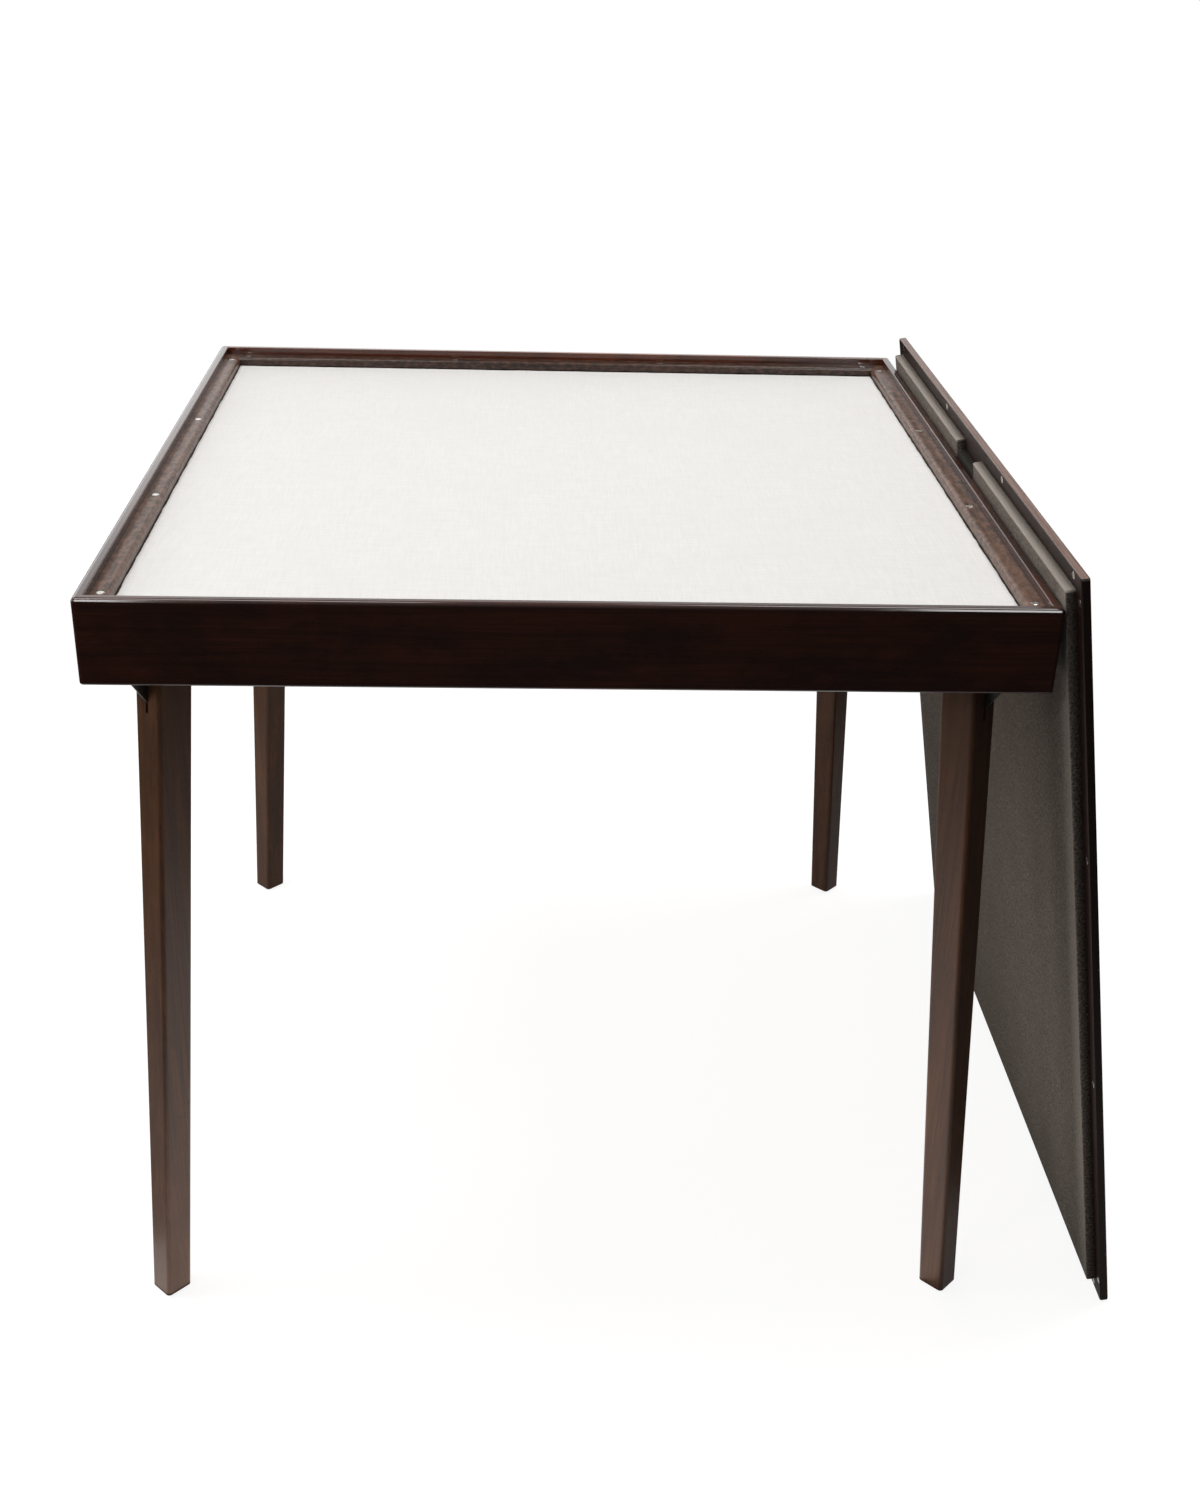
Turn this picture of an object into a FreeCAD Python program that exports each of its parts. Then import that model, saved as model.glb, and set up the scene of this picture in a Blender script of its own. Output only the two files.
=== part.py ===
import FreeCAD, Part
import os
import Sketcher
from FreeCAD import Placement, Rotation, Vector

# Square folding puzzle table with a lift-off cover. The rim carries a sunk tray, the four
# legs fold flat under it one after the other like a pinwheel, and the cover leans at the right.
# World frame: origin on the floor under the middle of the table, +X right, +Y back, +Z up.
# Most pieces are drawn in the frame of the front left corner and turned to the other three.

DIMENSIONS = {
    "table_side": "813",
    "table_height": "748",
    "apron_height": "77",
    "rail_thickness": "18",
    "outer_radius": "3.7",
    "apron_radius": "2.5",
    "rim_width": "9",
    "rim_radius": "1",
    "ledge_depth": "8",
    "ledge_width": "15.5",
    "ledge_thickness": "10",
    "ledge_radius": "4",
    "ledge_undercut": "1.2",
    "surface_thickness": "0.8",
    "panel_thickness": "5",
    "panel_clearance": "0.5",
    "cleat_width": "12",
    "cleat_height": "12",
    "cleat_end": "110",
    "corner_block_leg": "20",
    "corner_block_height": "20",
    "disc_diameter": "8",
    "disc_thickness": "3",
    "disc_end": "24",
    "pocket_clearance": "0.15",
    "leg_inset": "58.5",
    "foot_inset": "19.5",
    "leg_head_side": "36",
    "leg_foot_side": "27.5",
    "leg_edge_radius": "4",
    "leg_head_height": "16",
    "glide_diameter": "20",
    "glide_thickness": "3",
    "glide_bevel": "0.8",
    "glide_shank_diameter": "4",
    "glide_shank_length": "14",
    "pivot_drop": "68",
    "pivot_stand_off": "31.5",
    "fold_gap": "1",
    "pin_diameter": "8",
    "pin_clearance": "0.05",
    "pin_head_diameter": "10",
    "pin_head_thickness": "1.8",
    "pin_root": "9",
    "washer_diameter": "16",
    "washer_thickness": "0.5",
    "block_left": "14",
    "block_right": "26",
    "block_below": "8.5",
    "block_above": "19",
    "stud_diameter": "8",
    "stud_rise": "11",
    "stud_reach": "3.1",
    "stud_root": "8",
    "stop_gap": "0.3",
    "plate_thickness": "2.5",
    "plate_tail": "6",
    "plate_bend_lap": "0.375",
    "plate_eye": "9",
    "eye_flat": "3",
    "window_gap": "1",
    "plate_foot": "17.7",
    "mouth_drop": "112",
    "slot_width": "3.5",
    "slot_depth": "19",
    "slot_margin": "11",
    "slot_end_gap": "1.5",
    "cross_pin_diameter": "5",
    "cross_pin_depth": "11",
    "cross_pin_high": "2",
    "cross_pin_low": "-30",
    "cross_pin_inset": "1",
    "cover_gap": "1.5",
    "cover_thickness": "8",
    "cover_corner_radius": "3",
    "cover_edge_bevel": "1",
    "pad_gap": "1.5",
    "pad_thickness": "9.5",
    "pad_edge_radius": "2.5",
    "notch_length": "75",
    "notch_depth": "12",
    "cover_lean": "10",
    "cover_rest_gap": "0.3",
    "cover_shift": "-22",
}

CORNERS = ("front_left", "front_right", "back_right", "back_left")
SIDES = ("front", "right", "back", "left")
SNAP = 0.01  # how closely an edge lies where it is looked for
PARALLEL = 0.0001  # how little an edge may turn off the axis it runs along
PAST = "1"  # how far a cutting outline runs past the stock
START = 200  # where sketch points begin, before their places are bound
ALONG_X = Vector(1, 0, 0)
ALONG_Y = Vector(0, 1, 0)
ALONG_Z = Vector(0, 0, 1)

doc = FreeCAD.newDocument("PuzzleTable")
sheet = doc.addObject("Spreadsheet::Sheet", "dim")
for row, (alias, value) in enumerate(DIMENSIONS.items(), start=1):
    sheet.set(f"A{row}", alias)
    sheet.set(f"B{row}", value)
    sheet.setAlias(f"B{row}", alias)
doc.recompute()

place = doc.addObject("App::VarSet", "place")


def derive(name, expression):
    """Add a place worked out from the dimensions, and return how expressions call it."""
    place.addProperty("App::PropertyFloat", name)
    place.setExpression(name, expression)
    return f"place.{name}"


SIDE = "dim.table_side"
TOP = "dim.table_height"
APRON = derive("apron_bottom", f"{TOP} - dim.apron_height")
LEDGE = derive("ledge_top", f"{TOP} - dim.ledge_depth")
SURFACE = derive("surface_top", "place.ledge_top - dim.ledge_thickness")
PANEL = derive("panel_top", "place.surface_top - dim.surface_thickness")
UNDER = derive("panel_under", "place.panel_top - dim.panel_thickness")
LEDGE_EDGE = derive("ledge_edge", "dim.rim_width + dim.ledge_width")
DISC_LINE = derive("disc_line", "dim.rim_width + dim.ledge_width / 2")
COVER_SIDE = derive("cover_side", f"{SIDE} - 2 * (dim.rim_width + dim.cover_gap)")
DISC_PITCH = derive("disc_pitch", "(place.cover_side - 2 * dim.disc_end) / 3")
SPLAY = derive("splay", "(dim.leg_inset - dim.foot_inset) / place.apron_bottom")
PIVOT_Z = derive("pivot_z", f"{TOP} - dim.pivot_drop")
HEAD_Z = derive("leg_head_z", "place.pivot_z + dim.leg_head_height")
LEG_AT_PIVOT = derive("leg_at_pivot", "dim.foot_inset + place.splay * place.pivot_z")
LEG_AT_HEAD = derive("leg_at_head", "dim.foot_inset + place.splay * place.leg_head_z")
LEG_AT_FOOT = derive("leg_at_foot", "dim.foot_inset + place.splay * dim.glide_thickness")
HALF_DIAGONAL = derive("leg_half_diagonal",
                       "dim.leg_head_side / sqrt(2) - dim.leg_edge_radius * (sqrt(2) - 1)")
SWING = derive("leg_swing_radius", "place.panel_under - dim.fold_gap - place.pivot_z")
PIVOT_X = derive("pivot_x", "place.leg_at_pivot + place.leg_half_diagonal - place.leg_swing_radius")
PIVOT_Y = "dim.pivot_stand_off"
CANT = derive("hinge_cant", "atan(place.splay) / 1 deg")
WASHER_RISE = derive("washer_rise", "dim.washer_thickness / cos(place.hinge_cant)")
BEND = derive("plate_bend", "dim.pivot_stand_off + dim.plate_bend_lap")
MOUTH_Z = derive("mouth_z", f"{TOP} - dim.mouth_drop")
MOUTH = derive("mouth_on_diagonal",
               "(dim.foot_inset + place.splay * place.mouth_z) * sqrt(2) - dim.leg_head_side / 2")
doc.recompute()


def origin_plane(body, role):
    """Return the origin plane of this body that has the given role."""
    return next(feature for feature in body.Origin.OriginFeatures if feature.Role == role)


def attach(sketch, body, role, offset):
    """Lay a sketch on one of its own body's origin planes, moved by the offset."""
    sketch.AttachmentSupport = (origin_plane(body, role), [""])
    sketch.MapMode = "FlatFace"
    sketch.AttachmentOffset = offset


def fix_point(sketch, index, position, x, y):
    """Hold one point of a sketch at a place given by two expressions."""
    point = sketch.getPoint(index, position)
    for kind, expression, start in (("DistanceX", x, point.x), ("DistanceY", y, point.y)):
        constraint = sketch.addConstraint(
            Sketcher.Constraint(kind, -1, 1, index, position, start))
        sketch.setExpression(f"Constraints[{constraint}]", expression)


def outline(body, name, role, corners, offset=Placement()):
    """A closed outline of straight sides, each corner given by two expressions."""
    sketch = body.newObject("Sketcher::SketchObject", name)
    attach(sketch, body, role, offset)
    count = len(corners)
    middle = Vector(START, START, 0)
    ray = Vector(START / 2, 0, 0)
    start = [middle + Rotation(ALONG_Z, 360 * i / count).multVec(ray) for i in range(count)]
    for i in range(count):
        sketch.addGeometry(Part.LineSegment(start[i], start[(i + 1) % count]), False)
    for i in range(count):
        sketch.addConstraint(Sketcher.Constraint("Coincident", i, 2, (i + 1) % count, 1))
    for i, (x, y) in enumerate(corners):
        fix_point(sketch, i, 1, x, y)
    return sketch


def circle(body, name, role, x, y, diameter, offset=Placement()):
    """A circle with its centre and diameter given by expressions."""
    sketch = body.newObject("Sketcher::SketchObject", name)
    attach(sketch, body, role, offset)
    sketch.addGeometry(Part.Circle(Vector(START, START, 0), ALONG_Z, START / 20), False)
    fix_point(sketch, 0, 3, x, y)
    constraint = sketch.addConstraint(Sketcher.Constraint("Diameter", 0, START / 10))
    sketch.setExpression(f"Constraints[{constraint}]", diameter)
    return sketch


def rectangle(left, low, right, high):
    """The corners of a rectangle between four expressions."""
    return [(left, low), (right, low), (right, high), (left, high)]


def pad(body, name, sketch, length, symmetric=False, reverse=False):
    """Raise a sketch into a solid."""
    feature = body.newObject("PartDesign::Pad", name)
    feature.Profile = sketch
    feature.setExpression("Length", length)
    feature.SideType = "Symmetric" if symmetric else "One side"
    feature.Reversed = reverse
    return feature


def pocket(body, name, sketch, length=None, reverse=False):
    """Cut a sketch out of the body: right through both ways, or to a depth one way."""
    feature = body.newObject("PartDesign::Pocket", name)
    feature.Profile = sketch
    if length is None:
        feature.Type = "ThroughAll"
        feature.SideType = "Symmetric"
    else:
        feature.setExpression("Length", length)
        feature.Reversed = reverse
    return feature


def edges_of(feature, wanted):
    """Names of the edges of a feature's shape that the test function picks."""
    doc.recompute()
    return [f"Edge{i}" for i, edge in enumerate(feature.Shape.Edges, start=1) if wanted(edge)]


def fillet(body, name, base, wanted, radius):
    """Round the picked edges of the last feature."""
    feature = body.newObject("PartDesign::Fillet", name)
    feature.Base = (base, edges_of(base, wanted))
    feature.setExpression("Radius", radius)
    return feature


def chamfer(body, name, base, wanted, size):
    """Bevel the picked edges of the last feature."""
    feature = body.newObject("PartDesign::Chamfer", name)
    feature.Base = (base, edges_of(base, wanted))
    feature.setExpression("Size", size)
    return feature


def runs_along(edge, axis):
    """Whether an edge is a straight one along the axis given as a vector."""
    if not isinstance(edge.Curve, Part.Line):
        return False
    return abs(abs(edge.Curve.Direction.dot(axis)) - 1) < PARALLEL


def set_in_corner(piece, turn):
    """Put a piece drawn in the front left corner's frame into one of the four corners."""
    piece.Placement = Placement(Vector(), Rotation(ALONG_Z, 90 * turn))
    sign_x = (-1, 1, 1, -1)[turn]
    sign_y = (-1, -1, 1, 1)[turn]
    piece.setExpression("Placement.Base.x", f"{sign_x} * {SIDE} / 2")
    piece.setExpression("Placement.Base.y", f"{sign_y} * {SIDE} / 2")


def new_body(name, turn=None):
    """A body named for its piece, in one of the corners or in the world frame."""
    body = doc.addObject("PartDesign::Body", name)
    if turn is not None:
        set_in_corner(body, turn)
    return body


def cut(name, base, tool):
    """Take one shape from another."""
    feature = doc.addObject("Part::Cut", name)
    feature.Base = base
    feature.Tool = tool
    return feature


def together(name, pieces):
    """Hold several separate solids as one piece."""
    feature = doc.addObject("Part::Compound", name)
    feature.Links = pieces
    return feature


def cylinder(name, radius, height):
    """A round bar along its own +Z."""
    bar = doc.addObject("Part::Cylinder", name)
    bar.setExpression("Radius", radius)
    bar.setExpression("Height", height)
    return bar


# ---------------------------------------------------------------- top frame

def mitred_strip(body, near, far, low, height):
    """A strip along the front side between two distances from it, mitred at both ends."""
    corners = [(near, near), (f"{SIDE} - {near}", near), (f"{SIDE} - {far}", far), (far, far)]
    sketch = outline(body, f"{body.Name}_plan", "XY_Plane", corners)
    sketch.setExpression("AttachmentOffset.Base.z", low)
    return pad(body, f"{body.Name}_strip", sketch, height)


def frame_blank():
    """The whole frame's outer form, with every outer edge eased, that shapes the rails."""
    body = new_body("frame_blank", 0)
    sketch = outline(body, "blank_plan", "XY_Plane", rectangle("0", "0", SIDE, SIDE))
    sketch.setExpression("AttachmentOffset.Base.z", APRON)
    block = pad(body, "blank_block", sketch, "dim.apron_height")
    doc.recompute()
    top = sheet.table_height
    rounded = fillet(body, "blank_corners", block, lambda edge: abs(edge.BoundBox.ZMax - top) < SNAP,
                     "dim.outer_radius")
    doc.recompute()
    low = place.apron_bottom
    fillet(body, "blank_foot", rounded, lambda edge: abs(edge.BoundBox.ZMax - low) < SNAP,
           "dim.apron_radius")
    return body


def rail(side, turn, blank):
    """One side of the frame: a thin rim above a rebate that seats the ledge."""
    body = new_body(f"{side}_rail_strip", turn)
    strip = mitred_strip(body, "0", "dim.rail_thickness", APRON, "dim.apron_height")
    rebate = outline(body, f"{side}_rebate_section", "YZ_Plane",
                     rectangle("dim.rim_width", SURFACE, f"dim.rail_thickness + {PAST}",
                               f"{TOP} + {PAST}"))
    step = pocket(body, f"{side}_rebate", rebate)
    doc.recompute()
    top = sheet.table_height
    rim = sheet.rim_width

    def inner_arris(edge):
        return (runs_along(edge, ALONG_X) and abs(edge.BoundBox.ZMin - top) < SNAP
                and abs(edge.BoundBox.YMin - rim) < SNAP)

    fillet(body, f"{side}_rim_arris", step, inner_arris, "dim.rim_radius")
    shaped = doc.addObject("Part::Common", f"{side}_rail")
    shaped.Base = body
    shaped.Tool = blank
    return shaped


def ledge(side, turn):
    """The moulding that the cover's edge lies on, with its row of magnet pockets."""
    body = new_body(f"{side}_ledge", turn)
    strip = mitred_strip(body, "dim.rim_width", LEDGE_EDGE, SURFACE, "dim.ledge_thickness")
    doc.recompute()
    top = place.ledge_top
    edge_line = place.ledge_edge

    def inner_arris(edge):
        return (runs_along(edge, ALONG_X) and abs(edge.BoundBox.ZMin - top) < SNAP
                and abs(edge.BoundBox.YMin - edge_line) < SNAP)

    rounded = fillet(body, f"{side}_ledge_arris", strip, inner_arris, "dim.ledge_radius")
    doc.recompute()
    low = place.surface_top

    def inner_foot(edge):
        return (runs_along(edge, ALONG_X) and abs(edge.BoundBox.ZMin - low) < SNAP
                and abs(edge.BoundBox.YMin - edge_line) < SNAP)

    chamfer(body, f"{side}_ledge_foot", rounded, inner_foot, "dim.ledge_undercut")
    spot = circle(body, f"{side}_pocket_plan", "XY_Plane",
                  f"{SIDE} / 2 - 1.5 * {DISC_PITCH}", DISC_LINE,
                  "dim.disc_diameter + 2 * dim.pocket_clearance")
    spot.setExpression("AttachmentOffset.Base.z", LEDGE)
    first = pocket(body, f"{side}_magnet_pocket", spot, "dim.disc_thickness")
    row = body.newObject("PartDesign::LinearPattern", f"{side}_magnet_row")
    row.Originals = [first]
    row.Direction = (spot, ["H_Axis"])
    row.setExpression("Length", f"3 * {DISC_PITCH}")
    row.Occurrences = 4
    body.Tip = row
    return body


def disc_row_places(line):
    """Centres of the sixteen discs, four along each side, as expressions about the middle."""
    places = []
    for turn in range(4):
        for step in (-1.5, -0.5, 0.5, 1.5):
            along = f"{step} * {DISC_PITCH}"
            across = f"({SIDE} / 2 - {line})"
            turned = ((along, f"-{across}"), (across, along),
                      (f"-({along})", across), (f"-{across}", f"-({along})"))
            places.append(turned[turn])
    return places


def ledge_magnets():
    """Sixteen disc magnets, each flush in its pocket in the ledges."""
    discs = []
    for number, (x, y) in enumerate(disc_row_places(DISC_LINE), start=1):
        disc = cylinder(f"magnet_{number}", "dim.disc_diameter / 2", "dim.disc_thickness")
        disc.setExpression("Placement.Base.x", x)
        disc.setExpression("Placement.Base.y", y)
        disc.setExpression("Placement.Base.z", f"{LEDGE} - dim.disc_thickness")
        discs.append(disc)
    return together("ledge_magnets", discs)


def tray_sheet(name, inset, low, thickness):
    """A square sheet between the four sides, at a distance in from them."""
    body = new_body(name, 0)
    far = f"{SIDE} - ({inset})"
    sketch = outline(body, f"{name}_plan", "XY_Plane", rectangle(inset, inset, far, far))
    sketch.setExpression("AttachmentOffset.Base.z", low)
    pad(body, f"{name}_slab", sketch, thickness)
    return body


def cleat(side, turn):
    """A square batten glued inside a rail, on which the panel lies."""
    body = new_body(f"{side}_cleat", turn)
    plan = rectangle("dim.cleat_end", "dim.rail_thickness", f"{SIDE} - dim.cleat_end",
                     "dim.rail_thickness + dim.cleat_width")
    sketch = outline(body, f"{side}_cleat_plan", "XY_Plane", plan)
    sketch.setExpression("AttachmentOffset.Base.z", f"{UNDER} - dim.cleat_height")
    pad(body, f"{side}_cleat_bar", sketch, "dim.cleat_height")
    return body


def corner_block(corner, turn):
    """A triangular glue block behind a mitre."""
    body = new_body(f"{corner}_corner_block", turn)
    near = "dim.rail_thickness"
    far = "(dim.rail_thickness + dim.corner_block_leg)"
    sketch = outline(body, f"{corner}_block_plan", "XY_Plane",
                     [(near, near), (far, near), (near, far)])
    sketch.setExpression("AttachmentOffset.Base.z", f"{UNDER} - dim.corner_block_height")
    pad(body, f"{corner}_block_prism", sketch, "dim.corner_block_height")
    return body


# ------------------------------------------------------------ folding legs

def on_pivot(piece, turn):
    """Put a piece drawn about the pivot, its axis along +Z, on that axis in one corner."""
    lean = Rotation(ALONG_X, -90 - place.hinge_cant)
    spin = Rotation(ALONG_Z, 90 * turn)
    corner = Vector(-sheet.table_side / 2, -sheet.table_side / 2, 0)
    pivot = corner + Vector(place.pivot_x, sheet.pivot_stand_off, place.pivot_z)
    piece.Placement = Placement(spin.multVec(pivot), spin * lean)


def pivot_offset():
    """The frame of the canted hinge plane on a body's XZ plane: origin at the pivot."""
    return Placement(Vector(place.pivot_x, place.pivot_z, -sheet.pivot_stand_off),
                     Rotation(ALONG_X, -place.hinge_cant))


def pivot_pin(corner, turn):
    """The shoulder pin that a leg swings on, rooted in the pivot block."""
    body = new_body(f"{corner}_pivot_pin")
    root = circle(body, f"{corner}_pin_section", "XY_Plane", "0", "0", "dim.pin_diameter")
    root.setExpression("AttachmentOffset.Base.z", "-dim.washer_thickness - dim.pin_root")
    pad(body, f"{corner}_pin_shank", root,
        "dim.pin_root + dim.washer_thickness + dim.plate_thickness + dim.pin_clearance")
    head = circle(body, f"{corner}_pin_head_section", "XY_Plane", "0", "0",
                  "dim.pin_head_diameter")
    head.setExpression("AttachmentOffset.Base.z", "dim.plate_thickness + dim.pin_clearance")
    pad(body, f"{corner}_pin_head", head, "dim.pin_head_thickness - dim.pin_clearance")
    on_pivot(body, turn)
    return body


def pivot_washer(corner, turn):
    """The thin washer between the pivot block and the hinge plate."""
    body = new_body(f"{corner}_pivot_washer")
    ring = circle(body, f"{corner}_washer_section", "XY_Plane", "0", "0", "dim.washer_diameter")
    ring.setExpression("AttachmentOffset.Base.z", "-dim.washer_thickness")
    pad(body, f"{corner}_washer_disc", ring, "dim.washer_thickness - dim.pin_clearance")
    bore = circle(body, f"{corner}_washer_bore", "XY_Plane", "0", "0", "dim.pin_diameter")
    pocket(body, f"{corner}_washer_hole", bore)
    on_pivot(body, turn)
    return body


def stop_stud(corner, turn):
    """The stud that the hinge plate's tail comes up against when the leg is open."""
    body = new_body(f"{corner}_stop_stud")
    across = "dim.plate_tail + dim.stop_gap + dim.stud_diameter / 2"
    section = circle(body, f"{corner}_stud_section", "XY_Plane", across, "-dim.stud_rise",
                     "dim.stud_diameter")
    section.setExpression("AttachmentOffset.Base.z", "-dim.stud_root")
    pad(body, f"{corner}_stud_bar", section, "dim.stud_root + dim.stud_reach")
    on_pivot(body, turn)
    return body


def pivot_block(corner, turn, fittings):
    """The hardwood block inside a rail, its face canted to suit the splayed leg."""
    body = new_body(f"{corner}_pivot_block_blank", turn)
    low = f"({PIVOT_Z} - dim.block_below)"
    high = f"({PIVOT_Z} + dim.block_above)"

    def face(rise):
        return f"{PIVOT_Y} - {WASHER_RISE} + {SPLAY} * ({rise})"

    section = [("dim.rail_thickness", low), (face("-dim.block_below"), low),
               (face("dim.block_above"), high), ("dim.rail_thickness", high)]
    sketch = outline(body, f"{corner}_pivot_block_section", "YZ_Plane", section)
    sketch.setExpression("AttachmentOffset.Base.z", f"{PIVOT_X} - dim.block_left")
    pad(body, f"{corner}_pivot_block_bar", sketch, "dim.block_left + dim.block_right")
    return cut(f"{corner}_pivot_block", body, together(f"{corner}_block_fittings", fittings))


def diagonal_offset():
    """The vertical diagonal plane of a corner on a body's XZ plane, its x away from the corner."""
    return Placement(Vector(), Rotation(ALONG_Y, 45))


def cross_pins(corner, turn):
    """The two pins that hold a hinge plate in its leg."""
    pins = []
    for level, rise in (("upper", "dim.cross_pin_high"), ("lower", "dim.cross_pin_low")):
        body = new_body(f"{corner}_{level}_cross_pin", turn)
        depth = (f"({LEG_AT_PIVOT} + {SPLAY} * {rise}) * sqrt(2) - dim.leg_head_side / 2"
                 " + dim.cross_pin_depth")
        section = circle(body, f"{body.Name}_section", "XZ_Plane", depth,
                         f"{PIVOT_Z} + {rise}", "dim.cross_pin_diameter", diagonal_offset())
        pad(body, f"{body.Name}_bar", section, "dim.leg_head_side - 2 * dim.cross_pin_inset",
            symmetric=True)
        pins.append(body)
    return together(f"{corner}_cross_pins", pins)


def hinge_plate(corner, turn, pins):
    """A bent steel plate: an eye and tail beside the rail, and a wing let into the leg."""
    body = new_body(f"{corner}_hinge_plate_blank", turn)
    bend = f"{BEND} - {PIVOT_X}"
    eye = "dim.plate_eye"
    tail = "dim.leg_head_height"
    shoulder = f"sqrt({eye} * {eye} - dim.plate_tail * dim.plate_tail)"
    ear = outline(body, f"{corner}_ear_outline", "XZ_Plane",
                  [(bend, "-dim.plate_foot"), ("dim.eye_flat", f"-{eye}"),
                   (f"{eye} / sqrt(2)", f"-{eye} / sqrt(2)"), (eye, "-dim.eye_flat"),
                   (eye, "dim.eye_flat"), ("dim.plate_tail", shoulder),
                   ("dim.plate_tail", tail), (bend, tail)], pivot_offset())
    pad(body, f"{corner}_ear", ear, "dim.plate_thickness", reverse=True)
    eye_hole = circle(body, f"{corner}_eye_outline", "XZ_Plane", "0", "0",
                      "dim.pin_diameter + 2 * dim.pin_clearance", pivot_offset())
    pocket(body, f"{corner}_eye_hole", eye_hole)

    def on_ear(height):
        """Distance along the diagonal at which the ear's mid thickness is met."""
        return f"({PIVOT_Y} + dim.plate_thickness / 2 + {SPLAY} * ({height} - {PIVOT_Z})) * sqrt(2)"

    head = f"({PIVOT_Z} + {tail})"
    slot_end = (f"({LEG_AT_PIVOT} * sqrt(2) - dim.leg_head_side / 2"
                " + dim.slot_depth - dim.slot_end_gap)")
    bottom = f"({PIVOT_Z} - dim.plate_foot)"
    below_mouth = "(dim.slot_margin - dim.slot_end_gap)"
    lean_in = f"({MOUTH} - {on_ear(bottom)}) / ({bottom} - {MOUTH_Z})"
    below = f"({PIVOT_Z} - dim.pin_head_diameter / 2 - dim.window_gap)"
    above = f"({PIVOT_Z} + dim.pin_head_diameter / 2 + dim.window_gap)"
    past_head = (f"({PIVOT_Y} + dim.plate_thickness + dim.pin_head_thickness"
                 " + dim.plate_thickness / sqrt(2) + dim.window_gap) * sqrt(2)")
    wing = outline(body, f"{corner}_wing_outline", "XZ_Plane",
                   [(on_ear(bottom), bottom),
                    (f"{MOUTH} + {below_mouth} * {lean_in}", f"{MOUTH_Z} - {below_mouth}"),
                    (slot_end, f"{MOUTH_Z} - {below_mouth}"), (slot_end, head),
                    (on_ear(head), head), (on_ear(above), above), (past_head, above),
                    (past_head, below), (on_ear(below), below)], diagonal_offset())
    pad(body, f"{corner}_wing", wing, "dim.plate_thickness", symmetric=True)
    return cut(f"{corner}_hinge_plate", body, pins)


def leg(corner, turn, fittings):
    """A square leg set cornerwise, tapered and splayed, slotted for its hinge plate."""
    body = new_body(f"{corner}_leg_blank", turn)
    foot, head = "dim.leg_foot_side / 2", "dim.leg_head_side / 2"
    low, high = "dim.glide_thickness", HEAD_Z
    profile = outline(body, f"{corner}_leg_profile", "XZ_Plane",
                      [(f"{LEG_AT_FOOT} * sqrt(2) - {foot}", low),
                       (f"{LEG_AT_FOOT} * sqrt(2) + {foot}", low),
                       (f"{LEG_AT_HEAD} * sqrt(2) + {head}", high),
                       (f"{LEG_AT_HEAD} * sqrt(2) - {head}", high)], diagonal_offset())
    bar = pad(body, f"{corner}_leg_bar", profile, "2 * dim.leg_head_side", symmetric=True)
    for side, sign in (("left", "-"), ("right", "")):
        waste = outline(body, f"{corner}_{side}_waste", "XZ_Plane",
                        [(f"{sign}{foot}", low), (f"{sign}2 * dim.leg_head_side", low),
                         (f"{sign}2 * dim.leg_head_side", high), (f"{sign}{head}", high)],
                        Placement(Vector(), Rotation(ALONG_Y, -45)))
        bar = pocket(body, f"{corner}_{side}_taper", waste)
    rounded = fillet(body, f"{corner}_leg_edges", bar,
                     lambda edge: edge.Length > sheet.table_height / 2, "dim.leg_edge_radius")
    face = f"({LEG_AT_PIVOT} * sqrt(2) - dim.leg_head_side / 2)"
    slot = outline(body, f"{corner}_slot_outline", "XZ_Plane",
                   rectangle(f"{face} - dim.slot_depth",
                             f"{MOUTH_Z} - dim.slot_margin",
                             f"{face} + dim.slot_depth", f"{HEAD_Z} + {PAST}"), diagonal_offset())
    slit = body.newObject("PartDesign::Pocket", f"{corner}_slot")
    slit.Profile = slot
    slit.SideType = "Symmetric"
    slit.setExpression("Length", "dim.slot_width")
    swing_x = f"({PIVOT_X} + {SWING})"
    head_x = f"({PIVOT_X} + sqrt({SWING} * {SWING} - dim.leg_head_height * dim.leg_head_height))"
    clear_x = f"({PIVOT_X} + 2 * {SWING})"
    corner_off = outline(body, f"{corner}_head_corner", "XZ_Plane",
                         [(swing_x, PIVOT_Z), (clear_x, PIVOT_Z), (clear_x, f"{HEAD_Z} + {PAST}"),
                          (head_x, f"{HEAD_Z} + {PAST}"), (head_x, HEAD_Z)])
    pocket(body, f"{corner}_head_bevel", corner_off)
    return cut(f"{corner}_leg", body, together(f"{corner}_leg_fittings", fittings))


def foot_glide(corner, turn):
    """A round glide with a shank driven up into the foot."""
    body = new_body(f"{corner}_glide", turn)
    disc = circle(body, f"{corner}_glide_plan", "XY_Plane", LEG_AT_FOOT, LEG_AT_FOOT,
                  "dim.glide_diameter")
    slab = pad(body, f"{corner}_glide_disc", disc, "dim.glide_thickness")
    chamfer(body, f"{corner}_glide_rim", slab, lambda edge: edge.BoundBox.ZMax < SNAP,
            "dim.glide_bevel")
    shank = circle(body, f"{corner}_shank_plan", "XY_Plane", LEG_AT_FOOT, LEG_AT_FOOT,
                   "dim.glide_shank_diameter")
    pad(body, f"{corner}_glide_shank", shank, "dim.glide_thickness + dim.glide_shank_length")
    return body


# ------------------------------------------------------------ lift-off cover

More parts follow.
